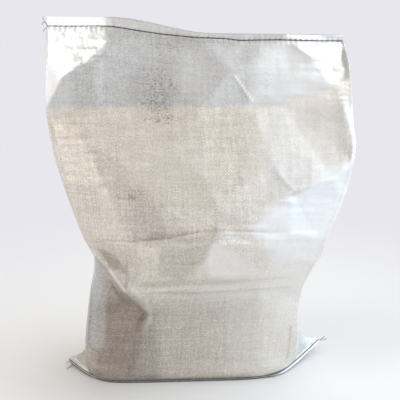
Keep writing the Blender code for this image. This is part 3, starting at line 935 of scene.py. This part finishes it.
def threadRings(path, radius):
    # rings round a path, closed to a point at each end
    sides = seamSizes["sides"]
    ahead = unit(np.gradient(path, axis=0))
    aside = unit(np.cross(ahead, seamSizes["reference"]))
    over = np.cross(aside, ahead)
    turn = np.linspace(0, 2 * np.pi, sides, endpoint=False)[None, :, None]
    rings = path[:, None] + radius * (np.cos(turn) * aside[:, None] + np.sin(turn) * over[:, None])
    ends = [np.repeat(path[row][None], sides, axis=0)[None] for row in (0, -1)]
    return np.concatenate((ends[0], rings, ends[1]))


def stitchWave(along):
    # 0 where the thread dives into the cloth, 1 where it lies on it
    size = seamSizes
    nearest = np.abs((along / size["stitch"]) % 1.0 - 0.5) * size["stitch"]
    return smoothStep((size["stitch"] / 2 - nearest) / size["dip"])


def seamThread(front, back, outward, sideways, proud=1.0):
    # one thread: stitches along the front line, then a chain of two crossing strands along the back line
    size = seamSizes
    outward, sideways = np.array(outward, float), np.array(sideways, float)
    frontLine, along = resampled(front, int(travelled(front)[-1] / size["step"]))
    backLine, backAlong = resampled(back, len(frontLine))
    middle = (frontLine + backLine) / 2
    lying = stitchWave(along)[:, None]
    over = frontLine + outward * (size["radius"] * np.broadcast_to(proud, along.shape))[:, None]
    first = over * lying + middle * (1 - lying)
    swing = np.sin(np.pi * backAlong / size["stitch"])[:, None] * size["chainHalf"] * sideways
    behind = backLine - outward * size["radius"]
    return [first, behind + swing, behind - swing]


def threadPiece(name, paths, radii, node):
    pieces = [tubeMesh(name, threadRings(path, radius)) for path, radius in zip(paths, radii)]
    joined = bmesh.new()
    for piece in pieces:
        joined.from_mesh(piece.data)
    for piece in pieces[1:]:
        data = piece.data
        bpy.data.objects.remove(piece)
        bpy.data.meshes.remove(data)
    joined.to_mesh(pieces[0].data)
    joined.free()
    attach(pieces[0], "root")
    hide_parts(node)
    return pieces[0]


def topSeamLines():
    # where the seam's picture line meets the two faces of the sack
    front = sackSizes["frontColumns"] + 1
    rows = points[sackSizes["bottomRows"] + sackSizes["footRows"] + seamSizes["searchFrom"]:-2]
    across, down = onPicture(rows)
    steps = np.arange(len(rows))
    ahead = []
    behind = []
    for column in range(2, front - 2):
        wanted = np.interp(across[-seamSizes["belowMouth"], column], *zip(*seamLine))
        row = np.interp(-wanted, -down[:, column], steps)
        opposite = np.abs(s[front:] - s[column]).argmin() + front
        for places, chosen in ((ahead, column), (behind, opposite)):
            places.append([np.interp(row, steps, rows[:, chosen, axis]) for axis in range(3)])
    ahead = np.array(ahead)
    behind = np.array(behind)
    keep = np.concatenate(([True], np.diff(behind[:, 0]) > seamSizes["leastStep"]))
    return ahead, behind[keep]


ahead, behind = topSeamLines()
alongSeam = np.linspace(0, 1, int(travelled(ahead)[-1] / seamSizes["step"]))
sunk = np.interp(alongSeam, seamSizes["proudAt"], seamSizes["proud"])
paths = seamThread(ahead, behind, (0, -1, 0), (0, 0, 1), sunk)
# loose ends hang from the left end of the seam: places from that end, in metres
topEnds = (
    ((0.000, 0.000, 0.000), (-0.003, -0.003, 0.006), (-0.006, -0.004, 0.005), (-0.008, -0.003, 0.001)),
    ((0.000, 0.000, 0.000), (-0.002, -0.004, 0.003), (-0.005, -0.006, 0.009), (-0.005, -0.005, 0.013)),
    ((0.000, 0.000, 0.000), (-0.004, -0.002, -0.004), (-0.007, -0.003, -0.008)),
)
paths += [resampled(ahead[0] + np.array(end), seamSizes["endSteps"])[0] for end in topEnds]
topStitch = threadPiece("topStitch", paths, [seamSizes["radius"]] * 3 + [seamSizes["end"]] * 3, "top_stitch")


def bottomSeamLines():
    size = hemSizes
    path, inward, along = hemRoute()
    inset = np.interp(path[:, 0], size["seamInsetsAt"], size["seamInsets"])
    line = path[:, :2] + inward * inset[:, None]
    share = inset / size["width"]
    earness = outFrom(path[:, 0], *size["earStart"])
    low = size["clearance"] + path[:, 2] + share * size["roll"] * earness
    return [np.column_stack((line, height)) for height in (low + size["thickness"], low)]


upper, under = bottomSeamLines()
paths = seamThread(upper, under, (0, 0, 1), (0, seamSizes["bottomChain"], 0))
# loose ends at the tips of the right ear and of the left one, in metres
bottomEnds = (
    ((0.2165, 0.1125, 0.0150), (0.2235, 0.1160, 0.0165), (0.2300, 0.1190, 0.0210)),
    ((0.2165, 0.1125, 0.0150), (0.2220, 0.1130, 0.0150), (0.2290, 0.1160, 0.0150), (0.2330, 0.1170, 0.0160)),
    ((-0.2240, 0.0590, 0.0060), (-0.2290, 0.0560, 0.0040), (-0.2320, 0.0520, 0.0025)),
    ((-0.2180, 0.0500, 0.0035), (-0.2240, 0.0420, 0.0012), (-0.2270, 0.0380, 0.0009)),
)
paths += [resampled(end, seamSizes["endSteps"])[0] for end in bottomEnds]
radii = [seamSizes["radius"]] * 3 + [seamSizes["thickEnd"]] * 2 + [seamSizes["end"]] * 2
bottomStitch = threadPiece("bottomStitch", paths, radii, "bottom_stitch")
print("stitches", len(topStitch.data.polygons), len(bottomStitch.data.polygons))


cementSizes = {"skin": 0.0026, "thinnest": 0.45, "sideShare": 0.985, "top": 0.428, "across": 60,
               "everyRow": 3, "endRings": (0.0, 0.5, 0.85)}


def cementSurface(points, s):
    # the cement fills the sack to its top line, and keeps a skin's thickness off it all round
    size = cementSizes
    front = sackSizes["frontColumns"] + 1
    spread = size["sideShare"] * -np.cos(np.linspace(0, np.pi, size["across"] + 1))
    rows = []
    for row in points[sackSizes["bottomRows"]:-1:size["everyRow"]]:
        if row[:front, 2].mean() > size["top"]:
            break
        ahead, behind = [np.stack([np.interp(spread, order, layer[:, axis]) for axis in range(3)], axis=-1)
                         for order, layer in ((s[:front], row[:front]), (s[front:][::-1], row[front:][::-1]))]
        between = behind - ahead
        share = np.minimum(size["skin"] / np.linalg.norm(between, axis=-1, keepdims=True), size["thinnest"])
        rows.append(np.concatenate((ahead + between * share, (behind - between * share)[::-1])))
    body = np.array(rows)
    half = size["across"] + 1
    ahead = body[:, :half, 1].copy()
    for rowStep in (-1, 0, 1):
        for columnStep in (-1, 0, 1):
            near = np.roll(np.roll(ahead, rowStep, axis=0), columnStep, axis=1)[1:-1, 1:-1]
            body[1:-1, 1:half - 1, 1] = np.maximum(body[1:-1, 1:half - 1, 1], near)
    body[..., 2] = np.maximum(body[..., 2], size["skin"])
    ends = []
    for ring in (body[0], body[-1]):
        middle = (ring[:half] + ring[half:][::-1]) / 2
        middle = np.concatenate((middle, middle[::-1]))
        ends.append(np.array([middle + share * (ring - middle) for share in size["endRings"]]))
    return np.concatenate((ends[0], body, ends[1][::-1]))


cement = tubeMesh("cement", cementSurface(points, s))
print("cement", len(cement.data.polygons))
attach(cement, "root")
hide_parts("cement_fill")


def feed(tree, socket, value):
    # an input takes a link, a colour or a plain value
    if isinstance(value, bpy.types.NodeSocket):
        tree.links.new(value, socket)
    elif socket.type == "RGBA":
        socket.default_value = (*value, 1)
    else:
        socket.default_value = value


def newNode(tree, kind, **values):
    # each value is a setting of the node, or else what the input of that name is fed with
    node = tree.nodes.new("ShaderNode" + kind)
    for name, value in values.items():
        if hasattr(node, name):
            setattr(node, name, value)
        else:
            feed(tree, node.inputs[name.replace("_", " ")], value)
    return node


def maths(tree, operation, *values):
    node = newNode(tree, "Math", operation=operation)
    for socket, value in zip(node.inputs, values):
        feed(tree, socket, value)
    return node.outputs[0]


def scaled(tree, value, factor, start):
    return maths(tree, "MULTIPLY_ADD", value, factor, start)


def mix(tree, share, first, second, kind="FLOAT", blend="MIX"):
    node = newNode(tree, "Mix", data_type=kind, blend_type=blend)
    start, result = (6, 2) if kind == "RGBA" else (2, 0)
    for index, value in ((0, share), (start, first), (start + 1, second)):
        feed(tree, node.inputs[index], value)
    return node.outputs[result]


def mixShaders(tree, share, first, second, output):
    node = newNode(tree, "MixShader")
    for socket, value in zip(node.inputs, (share, first, second)):
        feed(tree, socket, value)
    tree.links.new(node.outputs[0], tree.nodes[output].inputs["Surface"])


def noise(tree, place, scale, detail, **values):
    return newNode(tree, "TexNoise", Vector=place, Scale=scale, Detail=detail, **values).outputs[0]


def bump(tree, height, distance, **values):
    return newNode(tree, "Bump", Height=height, Distance=distance, Strength=1.0, **values).outputs[0]


def newMaterial(name):
    material = bpy.data.materials.new(name)
    material.use_nodes = True
    return material, material.node_tree


def feedShader(tree, **values):
    shader = tree.nodes["Principled BSDF"]
    for name, value in values.items():
        feed(tree, shader.inputs[name.replace("_", " ")], value)
    return shader.outputs[0]


# how sharply a tape's edges and ends bend down, where gaps begin, and how a tape's shade changes
weaveLook = {"edges": 4.0, "ends": 2.0, "gapFrom": 0.35, "shadeAcross": 7.31, "shadeAlong": 0.03}


def buildWeave():
    # flat tapes crossing one over one; tape width in metres, on a UV map in metres
    look = weaveLook
    tree = bpy.data.node_groups.new("tapeWeave", "ShaderNodeTree")
    for name, kind in (("Tape Width", "NodeSocketFloat"), ("Place", "NodeSocketVector")):
        tree.interface.new_socket(name, in_out="INPUT", socket_type=kind)
    for name in ("Height", "Tone", "Upright", "Gap", "Glint"):
        tree.interface.new_socket(name, in_out="OUTPUT", socket_type="NodeSocketFloat")
    given = tree.nodes.new("NodeGroupInput").outputs
    result = tree.nodes.new("NodeGroupOutput").inputs
    parts = newNode(tree, "SeparateXYZ", Vector=given["Place"]).outputs
    across, up = [maths(tree, "DIVIDE", parts[axis], given["Tape Width"]) for axis in "XY"]
    acrossIndex, upIndex = [maths(tree, "FLOOR", way) for way in (across, up)]
    upright = maths(tree, "ABSOLUTE", maths(tree, "MODULO", maths(tree, "ADD", acrossIndex, upIndex), 2.0))
    # across its width each tape is nearly flat, and it dips where it goes under the next
    sides, ends = [maths(tree, "ABSOLUTE", maths(tree, "SUBTRACT", maths(tree, "FRACT", way), 0.5))
                   for way in (across, up)]
    crown, dip = [maths(tree, "POWER", maths(tree, "MULTIPLY", mix(tree, upright, *pair), 2.0), power)
                  for pair, power in (((ends, sides), look["edges"]), ((sides, ends), look["ends"]))]
    height = scaled(tree, maths(tree, "ADD", crown, dip), -0.5, 1.0)
    gap = maths(tree, "GREATER_THAN", maths(tree, "MULTIPLY", crown, dip), look["gapFrom"])
    # every tape has its own shade, changing slowly along its length
    tones = []
    for index, length in ((upIndex, across), (acrossIndex, up)):
        spread = newNode(tree, "CombineXYZ", X=maths(tree, "MULTIPLY", index, look["shadeAcross"]),
                         Y=maths(tree, "MULTIPLY", length, look["shadeAlong"])).outputs[0]
        tones.append(noise(tree, spread, 1.0, 1.0, noise_dimensions="2D"))
    cell = newNode(tree, "CombineXYZ", X=acrossIndex, Y=upIndex).outputs[0]
    glint = newNode(tree, "TexWhiteNoise", noise_dimensions="2D", Vector=cell).outputs["Value"]
    for name, value in (("Height", height), ("Tone", mix(tree, upright, *tones)), ("Upright", upright),
                        ("Gap", gap), ("Glint", glint)):
        tree.links.new(value, result[name])
    return tree


sackCloth = {
    "slackColour": (0.54, 0.535, 0.525),
    "filledColour": (0.71, 0.654, 0.578),
    # pale: doubled cloth, and the colour of painted light and highlights
    "paleColour": (0.80, 0.795, 0.785),
    "soilColour": (0.16, 0.15, 0.14),
    # cement dust, also the colour of painted shade
    "dustAndShadeColour": (0.295, 0.248, 0.210),
    "tapeWidth": 0.0022,
    # how much single tapes, upright ones, gaps and single crossings differ in shade: change and start
    "shades": {"Tone": (0.5, 0.75), "Upright": (0.02, 0.99), "Gap": (-0.06, 1.0), "Glint": (0.24, 0.88)},
    # how strongly the weave shows: plain, more under dust and painted shade, less under painted light, and at
    # least
    "contrast": (0.95, 0.7, -1.8, 0.2),
    # soil specks: change and start over the streaks, from single crossings, from soil, sharpness and most
    "streaks": (150.0, 480.0, 1.0),
    "specks": (2.2, -1.83, 0.8, 0.55, 4.5, 0.60),
    # the pearly shine, and the shares that pale cloth with painted light and dust with painted shade take
    # away
    "pearl": (0.45, 0.8, 0.5),
    "shine": 0.9,
    # roughness: least, more in clouds, on upright tapes, under dust and painted shade, and where the cloth is
    # palest
    "roughness": (0.23, 0.2, -0.02, 0.2, 0.8),
    "palest": 0.5,
    "cloudScale": 28.0,
    "crumpleScale": 70.0,
    "crumpleTwist": 0.6,
    "fineDetail": 3.0,
    "crumpleHeight": 0.0003,
    "weaveHeight": 0.00003,
}


def wovenMaterial():
    cloth = sackCloth
    material, tree = newMaterial("wovenFabric")
    place = newNode(tree, "UVMap", uv_map="cloth").outputs[0]
    weave = newNode(tree, "Group", node_tree=buildWeave(), Tape_Width=cloth["tapeWidth"], Place=place).outputs
    filled, soil, pale, dustAndShade = [newNode(tree, "Attribute", attribute_name=name).outputs["Fac"]
                                 for name in ("filled", "soil", "pale", "dustAndShade")]
    colour = mix(tree, filled, cloth["slackColour"], cloth["filledColour"], "RGBA")
    # painted light and highlights pale the cloth, and dust with painted shade greys it
    colour = mix(tree, pale, colour, cloth["paleColour"], "RGBA")
    colour = mix(tree, dustAndShade, colour, cloth["dustAndShadeColour"], "RGBA")
    most, whenPale, underDustAndShade = cloth["pearl"]
    pearl = scaled(tree, pale, -whenPale * most, most)
    pearl = maths(tree, "MULTIPLY", pearl, scaled(tree, dustAndShade, -underDustAndShade, 1.0))
    # tapes differ a little in shade, and the upright ones shine more
    tone = 1.0
    for name, (change, start) in cloth["shades"].items():
        tone = maths(tree, "MULTIPLY", tone, scaled(tree, weave[name], change, start))
    plain, underDustAndShade, whenPale, least = cloth["contrast"]
    contrast = scaled(tree, pale, whenPale, scaled(tree, dustAndShade, underDustAndShade, plain))
    contrast = maths(tree, "MAXIMUM", contrast, least)
    tone = scaled(tree, maths(tree, "SUBTRACT", tone, 1.0), contrast, 1.0)
    grey = newNode(tree, "CombineColor", Red=tone, Green=tone, Blue=tone).outputs[0]
    colour = mix(tree, 1.0, colour, grey, "RGBA", "MULTIPLY")
    # soil sits on single crossings of the weave and in short streaks across it
    change, start, atCrossings, whereSoiled, sharpness, most = cloth["specks"]
    stretched = newNode(tree, "Mapping", Vector=place, Scale=cloth["streaks"]).outputs[0]
    specks = noise(tree, stretched, 1.0, cloth["fineDetail"], noise_dimensions="2D")
    specks = scaled(tree, specks, change, start)
    specks = scaled(tree, weave["Glint"], atCrossings, specks)
    specks = scaled(tree, soil, whereSoiled, specks)
    specks = maths(tree, "MULTIPLY", maths(tree, "MULTIPLY", specks, sharpness), soil)
    specks = maths(tree, "MINIMUM", maths(tree, "MAXIMUM", specks, 0.0), most)
    colour = mix(tree, specks, colour, cloth["soilColour"], "RGBA")
    least, inClouds, onUpright, underDustAndShade, whenPale = cloth["roughness"]
    clouds = noise(tree, place, cloth["cloudScale"], cloth["fineDetail"], noise_dimensions="2D")
    rough = scaled(tree, clouds, inClouds, least)
    rough = scaled(tree, weave["Upright"], onUpright, rough)
    rough = scaled(tree, dustAndShade, underDustAndShade, rough)
    palest = maths(tree, "MAXIMUM", maths(tree, "SUBTRACT", pale, cloth["palest"]), 0.0)
    rough = scaled(tree, palest, whenPale, rough)
    # crumples under the weave
    crumple = noise(tree, place, cloth["crumpleScale"], cloth["fineDetail"], noise_dimensions="2D",
                    Distortion=cloth["crumpleTwist"])
    normal = bump(tree, crumple, cloth["crumpleHeight"])
    normal = bump(tree, weave["Height"], cloth["weaveHeight"], Normal=normal)
    feedShader(tree, Base_Color=colour, Metallic=pearl, Roughness=rough, Specular_IOR_Level=cloth["shine"],
               Normal=normal)
    return material


# grains: scale, detail and share; rough: change over the first grain, and start
cementLook = {
    "colour": (0.24, 0.235, 0.225),
    "paler": (0.36, 0.35, 0.33),
    "grains": ((60.0, 4.0, 0.6), (900.0, 1.0, 0.4)),
    "rough": (0.15, 0.85),
    "depth": 0.0004,
    "plain": {"Specular_IOR_Level": 0.2},
}
threadLook = {
    "colour": (0.035, 0.032, 0.028),
    "paler": (0.10, 0.09, 0.08),
    "grains": ((900.0, 2.0, 1.0),),
    "rough": (0.3, 0.6),
    "depth": 0.0001,
    "plain": {"Sheen_Weight": 0.2},
}


def grainyMaterial(name, look):
    material, tree = newMaterial(name)
    place = newNode(tree, "TexCoord").outputs["Object"]
    grains = [noise(tree, place, scale, detail) for scale, detail, _ in look["grains"]]
    share = 0.0
    for grain, (_, _, part) in zip(grains, look["grains"]):
        share = scaled(tree, grain, part, share)
    feedShader(tree, Base_Color=mix(tree, share, look["colour"], look["paler"], "RGBA"),
               Roughness=scaled(tree, grains[0], *look["rough"]), Normal=bump(tree, share, look["depth"]),
               **look["plain"])
    return material


woven = wovenMaterial()
for piece in [sack, hem] + ears:
    piece.data.materials.append(woven)
thread = grainyMaterial("darkThread", threadLook)
for piece in (topStitch, bottomStitch):
    piece.data.materials.append(thread)
cement.data.materials.append(grainyMaterial("cementPowder", cementLook))
print("materials")


# place, aim, width and height in metres, watts, colour
studioLights = {
    "highLeft": ((-0.73, -0.50, 1.70), (-0.15, 0.0, 0.5), (0.4, 0.4), 5.5, (1.0, 0.99, 0.96)),
    "highRight": ((0.90, -0.22, 1.70), (0.15, 0.0, 0.5), (0.4, 0.4), 5.0, (0.97, 0.98, 1.0)),
    "windowBehind": ((0.25, 1.7, 1.6), (0.0, 0.0, 0.1), (3.2, 1.6), 24.0, (0.94, 0.97, 1.0)),
    "windowRight": ((1.45, -0.45, 0.32), (0.0, 0.0, 0.25), (2.2, 1.3), 14.0, (0.54, 0.76, 1.0)),
    "windowLeft": ((-1.25, -1.0, 1.0), (0.0, 0.0, 0.42), (1.3, 1.6), 7.2, (1.0, 0.98, 0.94)),
}
studio = {
    "worldColour": (0.81, 0.80, 0.85),
    "leftSky": (0.80, 0.71, 0.61),
    "rightSky": (0.73, 0.86, 1.0),
    "leftLight": 0.50,
    "rightLight": 2.2,
    "skyTurn": (-0.08, 0.95),
    "floorColour": (0.70, 0.69, 0.68),
    "floorRoughness": 0.9,
    "floorFade": (0.3, 1.1),
    "floorReach": 30.0,
}


def addLights():
    for name, (place, aim, size, power, colour) in studioLights.items():
        data = bpy.data.lights.new(name, "AREA")
        data.shape = "RECTANGLE"
        data.size, data.size_y = size
        data.energy = power
        data.color = colour
        light = newObject(name, data)
        light.location = place
        light.rotation_euler = (Vector(aim) - Vector(place)).to_track_quat("-Z", "Y").to_euler()


def smoothRange(tree, value, ends):
    return newNode(tree, "MapRange", interpolation_type="SMOOTHSTEP", Value=value,
                   From_Min=ends[0], From_Max=ends[1]).outputs[0]


def addFloor():
    mesh = bmesh.new()
    bmesh.ops.create_grid(mesh, x_segments=1, y_segments=1, size=studio["floorReach"])
    floor = meshObject("floor", mesh)
    # far from the sack the floor runs into the pale backdrop without a line
    paint, tree = newMaterial("floorPaint")
    place = newNode(tree, "TexCoord").outputs["Object"]
    distance = newNode(tree, "VectorMath", operation="LENGTH", Vector=place).outputs["Value"]
    near = feedShader(tree, Base_Color=studio["floorColour"], Roughness=studio["floorRoughness"])
    backdrop = newNode(tree, "Emission", Color=studio["worldColour"]).outputs[0]
    mixShaders(tree, smoothRange(tree, distance, studio["floorFade"]), near, backdrop, "Material Output")
    floor.data.materials.append(paint)


def addWorld():
    world = bpy.data.worlds.new("studio")
    world.use_nodes = True
    tree = world.node_tree
    # the room is dim and warm on the left, and opens to daylight on the right
    direction = newNode(tree, "TexCoord").outputs["Generated"]
    turn = smoothRange(tree, newNode(tree, "SeparateXYZ", Vector=direction).outputs["X"], studio["skyTurn"])
    strength = newNode(tree, "MapRange", Value=turn, To_Min=studio["leftLight"], To_Max=studio["rightLight"])
    sky = tree.nodes["Background"]
    feed(tree, sky.inputs["Color"], mix(tree, turn, studio["leftSky"], studio["rightSky"], "RGBA"))
    feed(tree, sky.inputs["Strength"], strength.outputs[0])
    seen = newNode(tree, "Background", Color=studio["worldColour"], Strength=1.0).outputs[0]
    fromCamera = newNode(tree, "LightPath").outputs["Is Camera Ray"]
    mixShaders(tree, fromCamera, sky.outputs[0], seen, "World Output")
    bpy.context.scene.world = world
    bpy.context.scene.view_settings.view_transform = "Standard"


def addCamera():
    data = bpy.data.cameras.new("camera")
    data.sensor_width = 36.0
    data.lens = data.sensor_width * viewSetup["focal"] / (2 * viewSetup["centre"])
    data.clip_start = 0.05
    camera = newObject("camera", data)
    camera.location = Vector(viewSetup["place"]) - Vector(cadMiddle)
    camera.rotation_euler = (math.radians(90 - viewSetup["tilt"]), 0, 0)
    bpy.context.scene.camera = camera


addLights()
addFloor()
addWorld()
addCamera()
